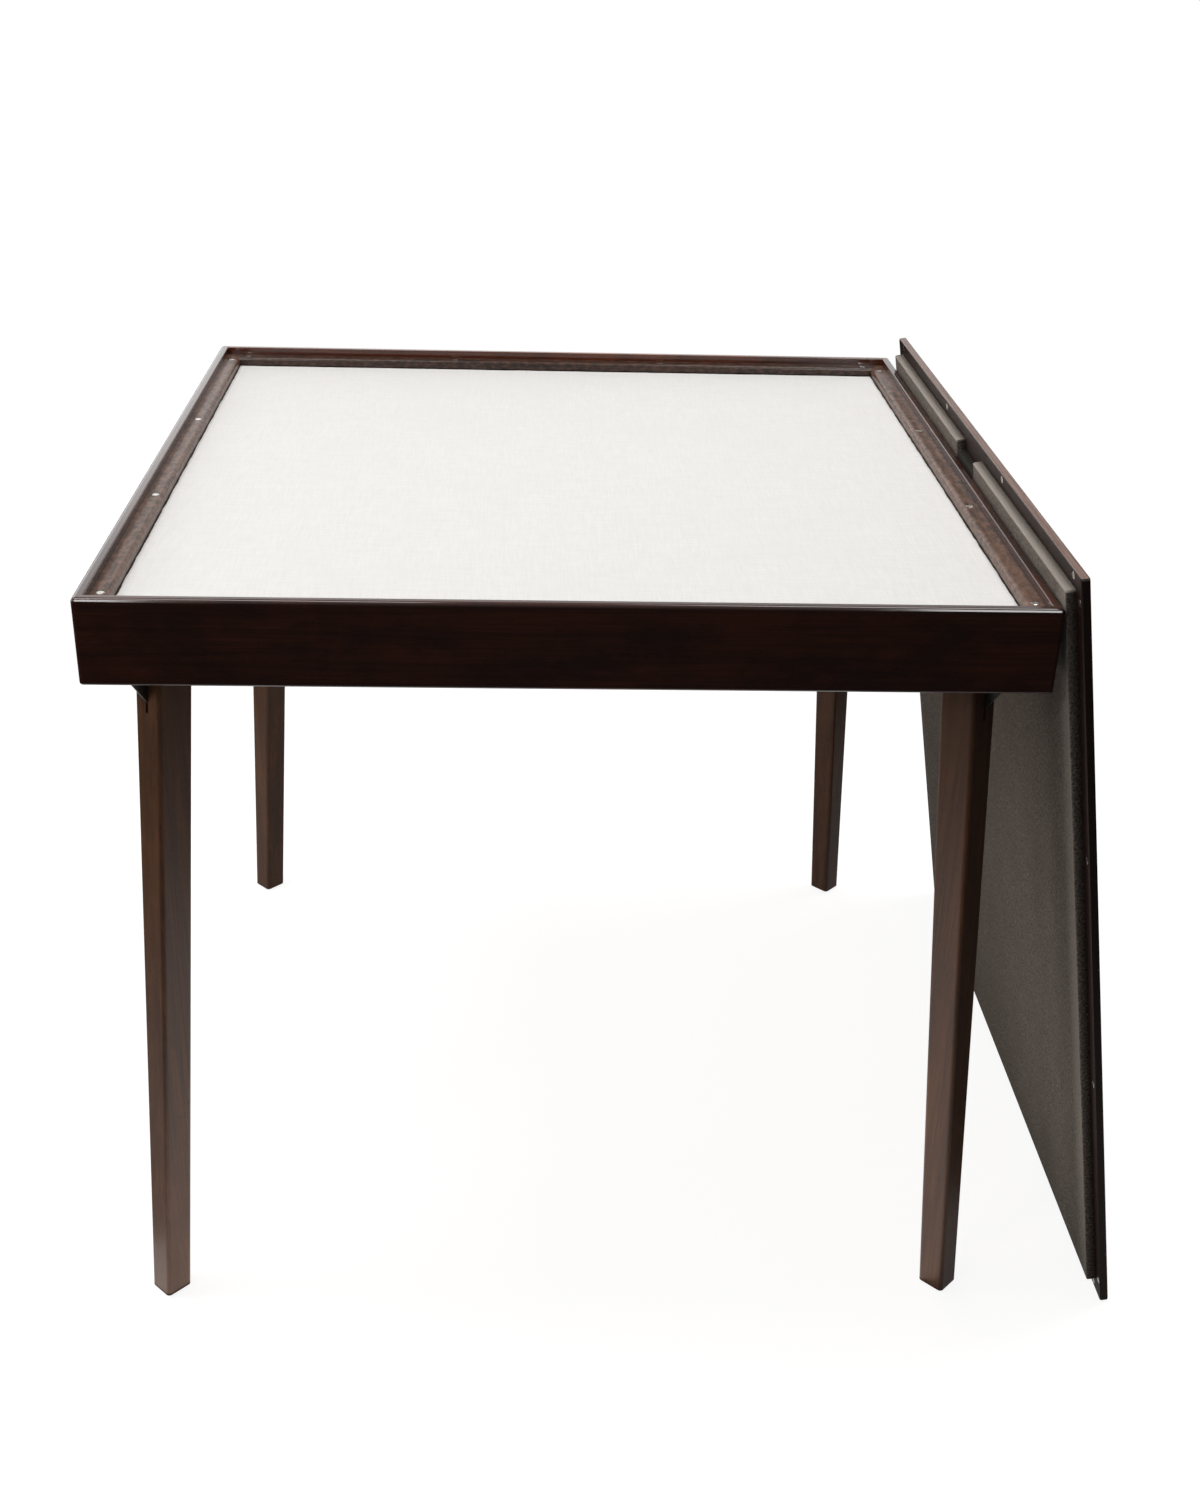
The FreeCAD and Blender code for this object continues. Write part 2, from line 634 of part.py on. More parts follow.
PAD_MARGIN = derive("pad_margin", "dim.ledge_width - dim.cover_gap + dim.pad_gap")
DISC_MARGIN = derive("disc_margin", "dim.ledge_width / 2 - dim.cover_gap")
DROP = derive("cover_drop", "dim.cover_edge_bevel * sin(dim.cover_lean)")
PAD_HIGH = derive("pad_high", "place.cover_side - place.pad_margin")
AT_ARRIS = derive("cover_x_at_arris",
                  f"{SIDE} / 2 - dim.outer_radius + ({TOP} - dim.outer_radius) * tan(dim.cover_lean)"
                  " + (dim.outer_radius + dim.cover_rest_gap + dim.pad_thickness)"
                  " / cos(dim.cover_lean) + place.cover_drop * tan(dim.cover_lean)")
AT_RAIL = derive("cover_x_at_rail",
                 f"{SIDE} / 2 + dim.cover_rest_gap + dim.pad_thickness * cos(dim.cover_lean)"
                 " + place.pad_high * sin(dim.cover_lean)")
LEAN_X = derive("cover_x", f"min({AT_ARRIS}; {AT_RAIL})")
doc.recompute()


def lean(piece):
    """Stand a cover piece, drawn upright with its seam on the YZ plane, against the table."""
    piece.Placement = Placement(Vector(), Rotation(ALONG_Y, -sheet.cover_lean))
    piece.setExpression("Placement.Base.x", LEAN_X)
    piece.setExpression("Placement.Base.y", "dim.cover_shift")
    piece.setExpression("Placement.Base.z", f"-{DROP}")


def cover_disc_places():
    """Centres of the sixteen discs on the cover, as expressions in its upright frame."""
    places = []
    reach = f"({COVER_SIDE} / 2 - {DISC_MARGIN})"
    for step in (-1.5, -0.5, 0.5, 1.5):
        along = f"{step} * {DISC_PITCH}"
        for side in (-1, 1):
            places.append((f"{side} * {reach}", f"{COVER_SIDE} / 2 + {along}"))
            places.append((along, f"{COVER_SIDE} / 2 + {side} * {reach}"))
    return places


def cover_discs():
    """The sixteen steel discs that the ledge magnets hold."""
    discs = []
    for number, (across, height) in enumerate(cover_disc_places(), start=1):
        disc = cylinder(f"cover_disc_{number}", "dim.disc_diameter / 2", "dim.disc_thickness")
        tilt = Rotation(ALONG_Y, -sheet.cover_lean)
        disc.Placement = Placement(Vector(), tilt * Rotation(ALONG_Y, 90))
        disc.setExpression("Placement.Base.x", f"{LEAN_X} - ({height}) * sin(dim.cover_lean)")
        disc.setExpression("Placement.Base.y", f"dim.cover_shift + {across}")
        disc.setExpression("Placement.Base.z", f"({height}) * cos(dim.cover_lean) - {DROP}")
        discs.append(disc)
    return together("cover_discs", discs)


def cover_board(discs):
    """The thin square board that fills the rim when the cover is on."""
    body = new_body("cover_board_blank")
    half = f"{COVER_SIDE} / 2"
    sketch = outline(body, "cover_board_plan", "YZ_Plane",
                     rectangle(f"-{half}", "0", half, COVER_SIDE))
    slab = pad(body, "cover_board_slab", sketch, "dim.cover_thickness")
    rounded = fillet(body, "cover_board_corners", slab, lambda edge: runs_along(edge, ALONG_X),
                     "dim.cover_corner_radius")
    chamfer(body, "cover_board_edges", rounded, lambda edge: not runs_along(edge, ALONG_X),
            "dim.cover_edge_bevel")
    lean(body)
    return cut("cover_board", body, discs)


def cover_pad():
    """The felt-covered board that drops inside the ledges, with a finger notch in one side."""
    body = new_body("cover_pad")
    half = f"({COVER_SIDE} / 2 - {PAD_MARGIN})"
    high = PAD_HIGH
    notch = "dim.notch_length / 2"
    sketch = outline(body, "cover_pad_plan", "YZ_Plane",
                     [(f"-{half}", PAD_MARGIN), (half, PAD_MARGIN), (half, high),
                      (notch, high), (notch, f"{high} - dim.notch_depth"),
                      (f"-{notch}", f"{high} - dim.notch_depth"), (f"-{notch}", high),
                      (f"-{half}", high)])
    slab = pad(body, "cover_pad_slab", sketch, "dim.pad_thickness", reverse=True)
    doc.recompute()
    face = -sheet.pad_thickness

    def on_face(edge):
        return abs(edge.BoundBox.XMax - face) < SNAP

    fillet(body, "cover_pad_edges", slab, on_face, "dim.pad_edge_radius")
    lean(body)
    return body


# ---------------------------------------------------------------- the table

blank = frame_blank()
inset = "dim.rail_thickness + dim.panel_clearance"
pieces = [tray_sheet("work_surface", inset, PANEL, "dim.surface_thickness"),
          tray_sheet("base_panel", inset, UNDER, "dim.panel_thickness"),
          ledge_magnets()]
for turn, side in enumerate(SIDES):
    pieces += [rail(side, turn, blank), ledge(side, turn), cleat(side, turn)]
for turn, corner in enumerate(CORNERS):
    pieces.append(corner_block(corner, turn))
    pin = pivot_pin(corner, turn)
    stud = stop_stud(corner, turn)
    pieces += [pin, stud, pivot_washer(corner, turn)]
    pieces.append(pivot_block(corner, turn, [pin, stud]))
    pins = cross_pins(corner, turn)
    glide = foot_glide(corner, turn)
    pieces += [pins, glide]
    pieces.append(hinge_plate(corner, turn, pins))
    pieces.append(leg(corner, turn, [pins, glide]))
discs = cover_discs()
pieces += [discs, cover_board(discs), cover_pad()]

doc.recompute()

for item in doc.Objects:
    if "Invalid" in item.State or "Error" in item.State:
        raise RuntimeError(f"{item.Label} failed: {item.State}")
os.makedirs("parts", exist_ok=True)
for piece in pieces:
    shape = piece.Shape
    if shape.isNull() or not shape.isValid() or not shape.Solids:
        raise RuntimeError(f"{piece.Label} has no valid solid")
    shape.exportStep(f"parts/{piece.Label}.step")
    print(piece.Label, len(shape.Solids), round(shape.Volume))
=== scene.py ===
import math

import bmesh
import bpy
from mathutils import Matrix, Vector


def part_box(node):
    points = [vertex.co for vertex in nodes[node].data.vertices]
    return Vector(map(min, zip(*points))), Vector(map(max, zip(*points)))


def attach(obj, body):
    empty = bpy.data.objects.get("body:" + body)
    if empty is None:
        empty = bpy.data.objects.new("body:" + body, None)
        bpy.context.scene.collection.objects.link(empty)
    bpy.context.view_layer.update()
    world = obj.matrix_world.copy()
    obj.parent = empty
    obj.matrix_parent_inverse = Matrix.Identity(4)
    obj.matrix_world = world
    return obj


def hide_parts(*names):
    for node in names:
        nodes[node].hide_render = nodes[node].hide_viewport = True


# Square folding puzzle table with a lift-off cover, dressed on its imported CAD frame.
# Metres, +X right, +Y back, +Z up, the floor at zero. Sizes in millimetres carry MM.

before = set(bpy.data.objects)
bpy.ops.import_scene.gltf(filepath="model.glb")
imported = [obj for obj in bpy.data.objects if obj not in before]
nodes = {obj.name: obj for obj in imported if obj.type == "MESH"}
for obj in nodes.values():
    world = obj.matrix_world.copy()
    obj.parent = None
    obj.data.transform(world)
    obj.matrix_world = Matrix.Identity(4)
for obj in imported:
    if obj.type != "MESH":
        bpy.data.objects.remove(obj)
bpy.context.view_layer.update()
scene = bpy.context.scene

MM = 0.001
SIDES = ("front", "right", "back", "left")
CORNERS = ("front_left", "front_right", "back_right", "back_left")

# ------------------------------------------------------------------ sizes of table and cover

TABLE_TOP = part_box("front_rail")[1].z
LEDGE_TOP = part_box("front_ledge")[1].z
DISC_DIAMETER = 8 * MM
DISC_THICKNESS = 3 * MM
DISC_END = 24 * MM  # from the cover's corner to the outermost disc of a row
COVER_GAP = 1.5 * MM
LEDGE_WIDTH = 15.5 * MM
COVER_LEAN = math.radians(10)
COVER_THICKNESS = 8 * MM
COVER_BEVEL = 1 * MM
FELT_ROLL = 1.2 * MM  # how far the felt rolls over the pad's edges
PAD_GAP = 1.5 * MM
PAD_MARGIN = LEDGE_WIDTH - COVER_GAP + PAD_GAP
PAD_THICKNESS = 9.5 * MM
NOTCH_LENGTH = 75 * MM
NOTCH_DEPTH = 12 * MM

COVER_LOW, COVER_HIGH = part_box("cover_board")
COVER_SIDE = COVER_HIGH.y - COVER_LOW.y
DISC_PITCH = (COVER_SIDE - 2 * DISC_END) / 3
# The cover's own frame: upright on its lower edge's middle, the seam of board and pad at x = 0.
COVER_FOOT = Vector((COVER_HIGH.x - COVER_THICKNESS * math.cos(COVER_LEAN)
                     + COVER_BEVEL * math.sin(COVER_LEAN),
                     (COVER_LOW.y + COVER_HIGH.y) / 2, -COVER_BEVEL * math.sin(COVER_LEAN)))
COVER_FRAME = Matrix.Translation(COVER_FOOT) @ Matrix.Rotation(-COVER_LEAN, 4, "Y")


# ------------------------------------------------------------------ small tools

def add(tree, kind, sockets=(), **settings):
    """Add a shader node with its settings; a socket takes a value or a link."""
    node = tree.nodes.new("ShaderNode" + kind)
    for name, value in settings.items():
        setattr(node, name, value)
    for name, value in dict(sockets).items():
        if isinstance(value, bpy.types.NodeSocket):
            tree.links.new(value, node.inputs[name])
        else:
            node.inputs[name].default_value = value
    return node


# A colour Mix node's sockets go by number: its names are shared with the other data types.
FACTOR, FIRST, SECOND, MIXED = 0, 6, 7, 2


def srgb(code):
    """An sRGB hex colour as the linear one that shaders take."""
    channels = [int(code[i:i + 2], 16) / 255 for i in (1, 3, 5)]
    return [c / 12.92 if c <= 0.04045 else ((c + 0.055) / 1.055) ** 2.4 for c in channels] + [1]


def new_material(name, **constants):
    """A material of one Principled shader with constants on its own sockets."""
    material = bpy.data.materials.new(name)
    material.use_nodes = True
    shader = material.node_tree.nodes["Principled BSDF"]
    for socket, value in constants.items():
        shader.inputs[socket.replace("_", " ")].default_value = value
    return material, material.node_tree, shader


def paint(node, material):
    """Give a CAD node, named or as an object, its material."""
    piece = nodes[node] if isinstance(node, str) else node
    piece.data.materials.clear()
    piece.data.materials.append(material)


def make_piece(name, shape, material, body, smooth=True):
    """Turn a bmesh into a piece that rides on a body."""
    mesh = bpy.data.meshes.new(name)
    shape.to_mesh(mesh)
    shape.free()
    for face in mesh.polygons:
        face.use_smooth = smooth
    piece = bpy.data.objects.new(name, mesh)
    scene.collection.objects.link(piece)
    mesh.materials.append(material)
    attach(piece, body)
    return piece


# ------------------------------------------------------------------ materials

def grain_places(tree, along, length, width):
    """Object coordinates drawn out along the grain: one unit is a streak's length or width."""
    scale = [1 / width] * 3
    scale["XYZ".index(along)] = 1 / length
    place = add(tree, "TexCoord").outputs["Object"]
    return add(tree, "Mapping", {"Vector": place, "Scale": scale}).outputs["Vector"]


# Length and width of what runs along the grain.
FIBRE = (90 * MM, 1.3 * MM)
FIGURE = (260 * MM, 11 * MM)
PORE = (7 * MM, 0.6 * MM)  # wider than a real one, so that it shows
PATCH_STRETCH = 1.8  # a patch of dye is this many times as long as it is wide
GRAIN_DEPTH = 0.04 * MM  # what the lacquer leaves of it

WOOD_IOR = 1.5
UNDER_LACQUER = 0.1  # the dyed wood's own shine, next to nothing under a film
GLOSS_LACQUER = {"Roughness": 0.5, "Coat_Weight": 1.0, "Coat_Roughness": 0.1}
SATIN_LACQUER = {"Roughness": 0.6, "Coat_Weight": 0.4, "Coat_Roughness": 0.3}
RUBBED_LACQUER = {"Roughness": 0.5, "Coat_Weight": 0.45, "Coat_Roughness": 0.22}


def stained_wood(name, along, deep, warm, mottle, patch, finish):
    """Hardwood, planed, dyed dark and sprayed with lacquer.

    Fine fibres run along one axis, the dye lies in soft patches, open pores show as short
    dark dashes, and the lacquer over them is nearly level.
    """
    material, tree, shader = new_material(
        name, IOR=WOOD_IOR, Specular_IOR_Level=UNDER_LACQUER, Coat_IOR=WOOD_IOR, **finish)
    fibres = add(tree, "TexNoise", {
        "Vector": grain_places(tree, along, *FIBRE), "Scale": 1, "Detail": 5,
        "Roughness": 0.6}).outputs["Fac"]
    figure = add(tree, "TexNoise", {
        "Vector": grain_places(tree, along, *FIGURE), "Scale": 1, "Detail": 3,
        "Distortion": 0.8}).outputs["Fac"]
    patches = add(tree, "TexNoise", {
        "Vector": grain_places(tree, along, PATCH_STRETCH * patch, patch), "Scale": 1,
        "Detail": 4, "Roughness": 0.6}).outputs["Fac"]
    pores = add(tree, "TexNoise", {
        "Vector": grain_places(tree, along, *PORE), "Scale": 1, "Detail": 1}).outputs["Fac"]
    streaks = add(tree, "Mix", {FACTOR: 0.55, 2: fibres, 3: figure}, data_type="FLOAT").outputs[0]
    tone = add(tree, "MapRange", {"Value": streaks, "From Min": 0.36, "From Max": 0.64},
               interpolation_type="SMOOTHSTEP").outputs["Result"]
    grain = add(tree, "Mix", {FACTOR: tone, FIRST: srgb(deep), SECOND: srgb(warm)},
                data_type="RGBA").outputs[MIXED]
    dye = add(tree, "MapRange", {"Value": patches, "From Min": 0.38, "From Max": 0.66,
                                 "To Max": 0.75}, interpolation_type="SMOOTHSTEP").outputs["Result"]
    dyed = add(tree, "Mix", {FACTOR: dye, FIRST: grain, SECOND: srgb(mottle)},
               data_type="RGBA").outputs[MIXED]
    pore = add(tree, "MapRange", {"Value": pores, "From Min": 0.66, "From Max": 0.72,
                                  "To Max": 0.5}).outputs["Result"]
    tinted = add(tree, "Mix", {FACTOR: pore, FIRST: dyed, SECOND: srgb("#0b0504")},
                 data_type="RGBA").outputs[MIXED]
    tree.links.new(tinted, shader.inputs["Base Color"])
    relief = add(tree, "Math", {0: fibres, 1: pore}, operation="SUBTRACT").outputs[0]
    bump = add(tree, "Bump", {"Height": relief, "Strength": 0.35, "Distance": GRAIN_DEPTH})
    tree.links.new(bump.outputs["Normal"], shader.inputs["Normal"])
    return material


# Widths of a patch of dye.
RAIL_PATCH = 38 * MM
LEG_PATCH = 30 * MM
LEDGE_PATCH = 4.5 * MM

# Espresso stained hardwood under clear gloss lacquer: near black brown, reddish where it is lit.
FRAME_WOOD = {axis: stained_wood(f"frame_hardwood_gloss_lacquered_{axis}", axis, "#31140a",
                                 "#482010", "#26100a", RAIL_PATCH, GLOSS_LACQUER)
              for axis in "XY"}
# The back rail is painted paler and redder than the others: painted light, for the light its inner
# face catches off the pale work surface in front of it.
BACK_WOOD_PAINTED_LIGHT = stained_wood("back_rail_hardwood_gloss_lacquered", "X", "#52210d", "#783a19",
                         "#421b0c", RAIL_PATCH, GLOSS_LACQUER)
# The same stain on the legs, lacquered satin: paler, with long soft patches.
LEG_WOOD = stained_wood("leg_hardwood_satin_lacquered", "Z", "#4a2f20", "#6b462c", "#553825",
                        LEG_PATCH, SATIN_LACQUER)
# The ledge moulding, its satin lacquer worn thin on its top: grey brown and mottled. The left and
# right ledges are painted paler than the front and back ones: painted reflection of the bright wall
# that the side ledges mirror and the back rim hides from the back ledge.
LEDGE_WOOD_LIT_AND_SHADED = {axis: stained_wood(f"ledge_moulding_satin_lacquered_{axis}", axis, deep, warm,
                                 mottle, LEDGE_PATCH, RUBBED_LACQUER)
              for axis, deep, warm, mottle in (("X", "#261a15", "#3f2c23", "#5a3f33"),
                                               ("Y", "#38281f", "#594134", "#7f5d4c"))}


def in_cover_frame(tree):
    """Object coordinates upright in the cover's own frame, in from its seam, along and up."""
    place = add(tree, "TexCoord").outputs["Object"]
    turned = add(tree, "Mapping", {"Vector": place, "Location": COVER_FOOT,
                                   "Rotation": (0, -COVER_LEAN, 0)}, vector_type="TEXTURE")
    return add(tree, "SeparateXYZ", {"Vector": turned.outputs["Vector"]}).outputs


def between(tree, value, low, high):
    """One where the value lies between two places, with sharp ends."""
    above = add(tree, "Math", {0: value, 1: low}, operation="GREATER_THAN").outputs[0]
    below = add(tree, "Math", {0: value, 1: high}, operation="LESS_THAN").outputs[0]
    return add(tree, "Math", {0: above, 1: below}, operation="MULTIPLY").outputs[0]


VENEER = 0.6 * MM
VENEER_FIBRE = (80 * MM, 1.5 * MM)


def cover_wood():
    """The cover board: veneered faces and two ends, dark, and paler lipped edges on the other
    sides.

    The dark faces and ends are partly the wood's own tone and partly painted shade, and the paler
    top and bottom edges partly the wood's own tone and partly painted light and reflection from
    above. Its satin lacquer is thin on the faces and ends and thicker on the lipped edges.
    """
    material, tree, shader = new_material(
        "cover_board_satin_lacquered", Roughness=0.5, IOR=WOOD_IOR,
        Specular_IOR_Level=UNDER_LACQUER, Coat_Roughness=0.25, Coat_IOR=WOOD_IOR)
    streaks = add(tree, "TexNoise", {
        "Vector": grain_places(tree, "Y", *VENEER_FIBRE), "Scale": 1, "Detail": 5,
        "Roughness": 0.6}).outputs["Fac"]
    tone = add(tree, "MapRange", {"Value": streaks, "From Min": 0.35, "From Max": 0.65},
               interpolation_type="SMOOTHSTEP").outputs["Result"]
    veneer_and_shade = add(tree, "Mix", {FACTOR: tone, FIRST: srgb("#1a0e0a"), SECOND: srgb("#2b1912")},
                 data_type="RGBA").outputs[MIXED]
    lipping_and_light = add(tree, "Mix", {FACTOR: tone, FIRST: srgb("#5b3f34"), SECOND: srgb("#7f6052")},
                  data_type="RGBA").outputs[MIXED]
    places = in_cover_frame(tree)
    core = between(tree, places["X"], VENEER, COVER_THICKNESS - VENEER)
    half = COVER_SIDE / 2 - COVER_BEVEL
    inside = between(tree, places["Y"], -half, half)
    edge = add(tree, "Math", {0: core, 1: inside}, operation="MULTIPLY").outputs[0]
    # Painted shade on the faces and ends and painted light on the top and bottom edges, over the
    # wood's own tones.
    tinted = add(tree, "Mix", {FACTOR: edge, FIRST: veneer_and_shade, SECOND: lipping_and_light},
                 data_type="RGBA").outputs[MIXED]
    tree.links.new(tinted, shader.inputs["Base Color"])
    coat = add(tree, "MapRange", {"Value": edge, "To Min": 0.1, "To Max": 0.6}).outputs["Result"]
    tree.links.new(coat, shader.inputs["Coat Weight"])
    bump = add(tree, "Bump", {"Height": streaks, "Strength": 0.35, "Distance": GRAIN_DEPTH})
    tree.links.new(bump.outputs["Normal"], shader.inputs["Normal"])
    return material


COVER_WOOD = cover_wood()


BARE_FIBRE = (60 * MM, 1.6 * MM)
BARE_GRAIN_DEPTH = 0.08 * MM


def bare_wood(name, along, pale, dark):
    """Plain hardwood or plywood without a finish: open grain, dry and dull."""
    material, tree, shader = new_material(name, Roughness=0.75, IOR=WOOD_IOR)
    streaks = add(tree, "TexNoise", {
        "Vector": grain_places(tree, along, *BARE_FIBRE), "Scale": 1,
        "Detail": 5}).outputs["Fac"]
    tone = add(tree, "MapRange", {"Value": streaks, "From Min": 0.35,
                                  "From Max": 0.68}).outputs["Result"]
    grain = add(tree, "Mix", {FACTOR: tone, FIRST: srgb(pale), SECOND: srgb(dark)},
                data_type="RGBA").outputs[MIXED]
    tree.links.new(grain, shader.inputs["Base Color"])
    bump = add(tree, "Bump", {"Height": streaks, "Strength": 0.4, "Distance": BARE_GRAIN_DEPTH})
    tree.links.new(bump.outputs["Normal"], shader.inputs["Normal"])
    return material


# The base panel: pale sanded birch. Cleats and blocks: planed beech, a little pinker.
PLYWOOD = bare_wood("birch_plywood_sanded", "X", "#c9a980", "#b08d62")
BLOCK_WOOD = bare_wood("beech_planed", "X", "#c7a37c", "#a98660")

LAMINATE_IOR = 1.5
THREAD = (26 * MM, 1.5 * MM)  # coarser than pressed linen is, so that it shows
PRESSED_DEPTH = 0.1 * MM
SCUFF = 90 * MM
EDGE_LINE_BLOTCH = 20 * MM
DARK_LINE_WIDTH = (0.5 * MM, 1.4 * MM)  # of the dark line beside the ledge, least and most


def surface_sheet():
    """Off-white laminated sheet pressed with a linen pattern: two sets of fine threads."""
    material, tree, shader = new_material("laminate_linen_pressed", Roughness=0.62,
                                          IOR=LAMINATE_IOR)
    place = add(tree, "TexCoord").outputs["Object"]
    warp, weft = (add(tree, "TexNoise", {"Vector": grain_places(tree, axis, *THREAD),
                                         "Scale": 1, "Detail": 2}).outputs["Fac"]
                  for axis in "XY")
    weave = add(tree, "Mix", {FACTOR: 0.5, 2: warp, 3: weft}, data_type="FLOAT").outputs[0]
    scuffs = add(tree, "TexNoise", {"Vector": place, "Scale": 1 / SCUFF,
                                    "Detail": 4}).outputs["Fac"]
    tone = add(tree, "MapRange", {"Value": weave, "From Min": 0.35,
                                  "From Max": 0.65}).outputs["Result"]
    cloth = add(tree, "Mix", {FACTOR: tone, FIRST: srgb("#e1dedb"), SECOND: srgb("#eae8e5")},
                data_type="RGBA").outputs[MIXED]
    worn = add(tree, "MapRange", {"Value": scuffs, "From Min": 0.45, "From Max": 0.75,
                                  "To Max": 0.5}).outputs["Result"]
    final = add(tree, "Mix", {FACTOR: worn, FIRST: cloth, SECOND: srgb("#e3e0dd")},
                data_type="RGBA").outputs[MIXED]
    parts = add(tree, "SeparateXYZ", {"Vector": place}).outputs
    right, back = (add(tree, "Math", {0: parts[axis]}, operation="ABSOLUTE").outputs[0]
                   for axis in "XY")
    out = add(tree, "Math", {0: right, 1: back}, operation="MAXIMUM").outputs[0]
    ragged = add(tree, "TexNoise", {"Vector": place, "Scale": 1 / EDGE_LINE_BLOTCH,
                                    "Detail": 3}).outputs["Fac"]
    seam = COVER_SIDE / 2 + COVER_GAP - LEDGE_WIDTH
    narrow, wide = DARK_LINE_WIDTH
    near = add(tree, "MapRange", {"Value": ragged, "From Min": 0.35, "From Max": 0.65,
                                  "To Min": seam - wide, "To Max": seam - narrow}).outputs["Result"]
    # A ragged dark line on the sheet along the ledges' foot.
    dark_line = add(tree, "Math", {0: out, 1: near}, operation="GREATER_THAN").outputs[0]
    lined = add(tree, "Mix", {FACTOR: dark_line, FIRST: final, SECOND: srgb("#2a211d")},
                data_type="RGBA").outputs[MIXED]
    tree.links.new(lined, shader.inputs["Base Color"])
    bump = add(tree, "Bump", {"Height": weave, "Strength": 0.3, "Distance": PRESSED_DEPTH})
    tree.links.new(bump.outputs["Normal"], shader.inputs["Normal"])
    return material


WOOL_IOR = 1.45
FLECK = 2.2 * MM  # coarser than a tuft of wool, so that it shows
FELT_CLOUD = 60 * MM
NAP_DEPTH = 0.35 * MM
LIT_STRIP = 30 * MM  # the strip along the front edge that is painted paler: painted light
CUT_FELT = 0.5 * MM  # the felt laps this far over the notch's edges
SHADE_BELOW_NOTCH = 7 * MM  # below the notch the felt's face is painted near black this far: painted shade


def felt():
    """Pressed wool felt, taupe and flecked, with a soft nap.

    Its top edge and the strip along its front edge are painted paler: painted light where the
    rolled edges catch the lamps. The finger notch is cut through the felt and shows the dark board
    under it; below it the felt's face is painted near black, painted shade of the narrow gap beside
    the rim.
    """
    material, tree, shader = new_material(
        "wool_felt_pressed", Roughness=0.95, IOR=WOOL_IOR, Specular_IOR_Level=0.2,
        Sheen_Weight=0.08, Sheen_Roughness=0.5, Sheen_Tint=srgb("#cfc4b8"))
    place = add(tree, "TexCoord").outputs["Object"]
    flecks = add(tree, "TexNoise", {"Vector": place, "Scale": 1 / FLECK, "Detail": 4,
                                    "Roughness": 0.75}).outputs["Fac"]
    clouds = add(tree, "TexNoise", {"Vector": place, "Scale": 1 / FELT_CLOUD,
                                    "Detail": 3}).outputs["Fac"]
    tone = add(tree, "MapRange", {"Value": flecks, "From Min": 0.36,
                                  "From Max": 0.64}).outputs["Result"]
    nap = add(tree, "Mix", {FACTOR: tone, FIRST: srgb("#322b27"), SECOND: srgb("#83796f")},
              data_type="RGBA").outputs[MIXED]
    worn = add(tree, "MapRange", {"Value": clouds, "From Min": 0.35, "From Max": 0.7,
                                  "To Max": 0.35}).outputs["Result"]
    final = add(tree, "Mix", {FACTOR: worn, FIRST: nap, SECOND: srgb("#564d46")},
                data_type="RGBA").outputs[MIXED]
    places = in_cover_frame(tree)
    side = COVER_SIDE / 2 - PAD_MARGIN
    top = COVER_SIDE - PAD_MARGIN
    face = add(tree, "Math", {0: places["Y"], 1: FELT_ROLL - side},
               operation="GREATER_THAN").outputs[0]
    # Painted light: the strip along the front edge and the top edge are mixed towards a pale felt
    # colour.
    lit = add(tree, "MapRange", {"Value": places["Y"], "From Min": LIT_STRIP - side,
                                 "From Max": FELT_ROLL - side, "To Max": 0.5}).outputs["Result"]
    edge = add(tree, "Math", {0: face, 1: lit}, operation="MULTIPLY").outputs[0]
    lit_top_edge = add(tree, "MapRange", {"Value": places["Z"], "From Min": top - 2 * FELT_ROLL,
                                    "From Max": top - FELT_ROLL, "To Max": 0.8}).outputs["Result"]
    pale = add(tree, "Math", {0: edge, 1: lit_top_edge}, operation="MAXIMUM").outputs[0]
    lit_felt = add(tree, "Mix", {FACTOR: pale, FIRST: final, SECOND: srgb("#a39a91")},
                  data_type="RGBA").outputs[MIXED]
    reach = NOTCH_LENGTH / 2 - CUT_FELT
    beside = between(tree, places["Y"], -reach, reach)
    # Painted shade: below the notch floor the felt's face is near black; the notch floor itself
    # shows the dark board.
    floor = add(tree, "Math", {0: places["Z"], 1: top - NOTCH_DEPTH - CUT_FELT},
                operation="GREATER_THAN").outputs[0]
    bare_and_shaded = add(tree, "Mix", {FACTOR: floor, FIRST: srgb("#080706"), SECOND: srgb("#2b2826")},
               data_type="RGBA").outputs[MIXED]
    above = add(tree, "Math", {0: places["Z"], 1: top - NOTCH_DEPTH - SHADE_BELOW_NOTCH},
                operation="GREATER_THAN").outputs[0]
    notch = add(tree, "Math", {0: beside, 1: above}, operation="MULTIPLY").outputs[0]
    shown = add(tree, "Mix", {FACTOR: notch, FIRST: lit_felt, SECOND: bare_and_shaded},
                data_type="RGBA").outputs[MIXED]
    tree.links.new(shown, shader.inputs["Base Color"])
    bump = add(tree, "Bump", {"Height": flecks, "Strength": 0.6, "Distance": NAP_DEPTH})
    tree.links.new(bump.outputs["Normal"], shader.inputs["Normal"])
    return material


PLATING_CLOUD = 3 * MM
HAZE = (-0.08, 0.1)  # what the clouds take from the roughness and add to it


def plated_metal(name, pale, dark, roughness):
    """Plated steel: small clouds in the plating's colour, and its haze in the roughness."""
    material, tree, shader = new_material(name, Metallic=1.0)
    place = add(tree, "TexCoord").outputs["Object"]
    clouds = add(tree, "TexNoise", {"Vector": place, "Scale": 1 / PLATING_CLOUD,
                                    "Detail": 4}).outputs["Fac"]
    tone = add(tree, "Mix", {FACTOR: clouds, FIRST: srgb(dark), SECOND: srgb(pale)},
               data_type="RGBA").outputs[MIXED]
    tree.links.new(tone, shader.inputs["Base Color"])
    less, more = HAZE
    haze = add(tree, "MapRange", {"Value": clouds, "To Min": roughness + less,
                                  "To Max": roughness + more}).outputs["Result"]
    tree.links.new(haze, shader.inputs["Roughness"])
    return material


NYLON_IOR = 1.53
SPARKED_GRIT = 0.6 * MM
SPARKED_DEPTH = 0.05 * MM


